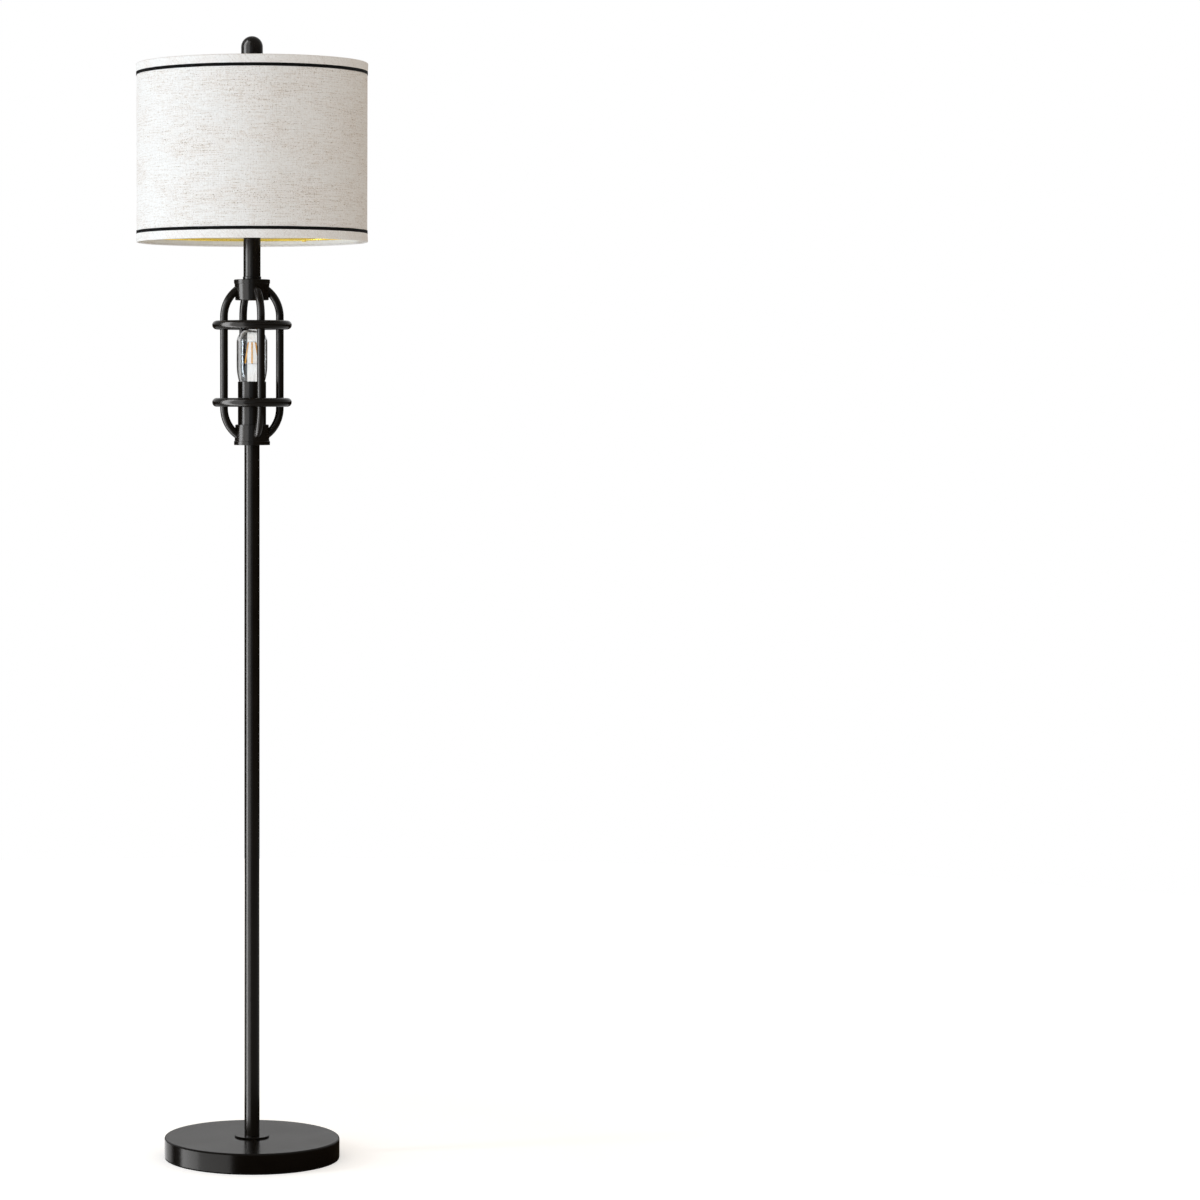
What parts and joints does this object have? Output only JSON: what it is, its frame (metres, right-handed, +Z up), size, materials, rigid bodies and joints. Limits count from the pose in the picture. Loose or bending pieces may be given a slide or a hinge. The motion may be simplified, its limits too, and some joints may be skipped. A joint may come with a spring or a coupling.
{
  "type": "floor lamp",
  "caption": "Floor lamp with a round weighted base, a slim column, an open cage of bent tubes around a clear tubular bulb, and a fabric drum shade on a harp with a domed finial.",
  "frame": {"origin": "centre of the base's underside, on the floor", "axes": "+Z up the column; the cage's four ribs stand on the diagonals of X and Y; the switch knob faces -Y and the cord inlet +Y; the harp stands in the XZ plane"},
  "size_m": [0.3322, 0.3322, 1.616],
  "materials": {
    "black_paint": "satin black powder coat",
    "cast_weight": "rough casting",
    "base_pad": "matt foam",
    "plated_steel": "zinc plated",
    "black_moulding": "matt moulding",
    "black_knob": "gloss moulding",
    "gold_wire": "bright gold plating",
    "contact_brass": "bright",
    "cap_metal": "bright",
    "clear_glass": "clear",
    "frosted_glass": "frosted",
    "filament": "amber coating",
    "shade_linen": "linen weave",
    "shade_lining": "matt white",
    "shade_tape": "bias-cut linen tape",
    "shade_trim": "black cord trim"
  },
  "bodies": {
    "stand": {"base_cover": "black_paint", "base_collar": "black_paint", "lower_pole": "black_paint", "upper_pole": "black_paint", "lower_cup_flange": "black_paint", "lower_cup": "black_paint", "upper_cup": "black_paint", "upper_cup_flange": "black_paint", "cage_sleeve": "black_paint", "cage_ring_lower": "black_paint", "cage_ring_upper": "black_paint", "neck_collar": "black_paint", "neck_tube": "black_paint", "neck_cap": "black_paint", "cage_rib_1": "black_paint", "cage_rib_2": "black_paint", "cage_rib_3": "black_paint", "cage_rib_4": "black_paint", "base_weight": "cast_weight", "base_pad": "base_pad", "base_washer": "plated_steel", "base_pipe": "plated_steel", "pole_end_inserts": "plated_steel", "pole_joint_socket": "plated_steel", "pole_joint_stud": "plated_steel", "cage_pipe": "plated_steel", "neck_foot_insert": "plated_steel", "neck_pipe": "plated_steel", "main_pipe": "plated_steel", "pipe_nuts": "plated_steel", "cord_inlet_bush": "black_moulding", "cage_socket_body": "black_moulding", "main_socket_body": "black_moulding", "harp_saddle": "gold_wire", "socket_shells": "contact_brass", "socket_contacts": "contact_brass"},
    "switch": {"switch_spindle": "plated_steel", "switch_knob": "black_knob"},
    "cage_bulb": {"cage_bulb_glass": "clear_glass", "cage_bulb_cap": "cap_metal", "cage_bulb_stem": "clear_glass", "cage_bulb_supports": "plated_steel", "cage_bulb_filaments": "filament"},
    "main_bulb": {"main_bulb_glass": "frosted_glass", "main_bulb_cap": "cap_metal"},
    "harp": {"harp": "gold_wire", "harp_stud": "gold_wire"},
    "sleeve_left": {"harp_sleeve_left": "gold_wire"},
    "sleeve_right": {"harp_sleeve_right": "gold_wire"},
    "shade": {"shade_fabric": "shade_linen", "shade_liner": "shade_lining", "shade_hem_lower": "shade_tape", "shade_hem_upper": "shade_tape", "shade_trims": "shade_trim", "shade_ring_lower": "gold_wire", "shade_ring_clip": "gold_wire", "shade_spider": "gold_wire"},
    "finial": {"finial_cap": "black_paint", "finial_insert": "contact_brass"}
  },
  "joints": [
    {"name": "switch_turn", "type": "hinge", "parent": "stand", "child": "switch", "pos_m": [0, -0.02, 1.3615], "axis": [0, -1, 0], "continuous": true},
    {"name": "cage_bulb_lift", "type": "slide", "parent": "stand", "child": "cage_bulb", "axis": [0, 0, 1], "range_m": [0, 0.035]},
    {"name": "main_bulb_lift", "type": "slide", "parent": "stand", "child": "main_bulb", "axis": [0, 0, 1], "range_m": [0, 0.03]},
    {"name": "harp_lift", "type": "slide", "parent": "stand", "child": "harp", "axis": [0, 0, 1], "range_m": [0, 0.03]},
    {"name": "sleeve_left_lift", "type": "slide", "parent": "harp", "child": "sleeve_left", "axis": [0, 0, 1], "range_m": [0, 0.012]},
    {"name": "sleeve_right_lift", "type": "slide", "parent": "harp", "child": "sleeve_right", "axis": [0, 0, 1], "range_m": [0, 0.012]},
    {"name": "shade_lift", "type": "slide", "parent": "harp", "child": "shade", "axis": [0, 0, 1], "range_m": [0, 0.26]},
    {"name": "finial_lift", "type": "slide", "parent": "shade", "child": "finial", "axis": [0, 0, 1], "range_m": [0, 0.02]}
  ]
}
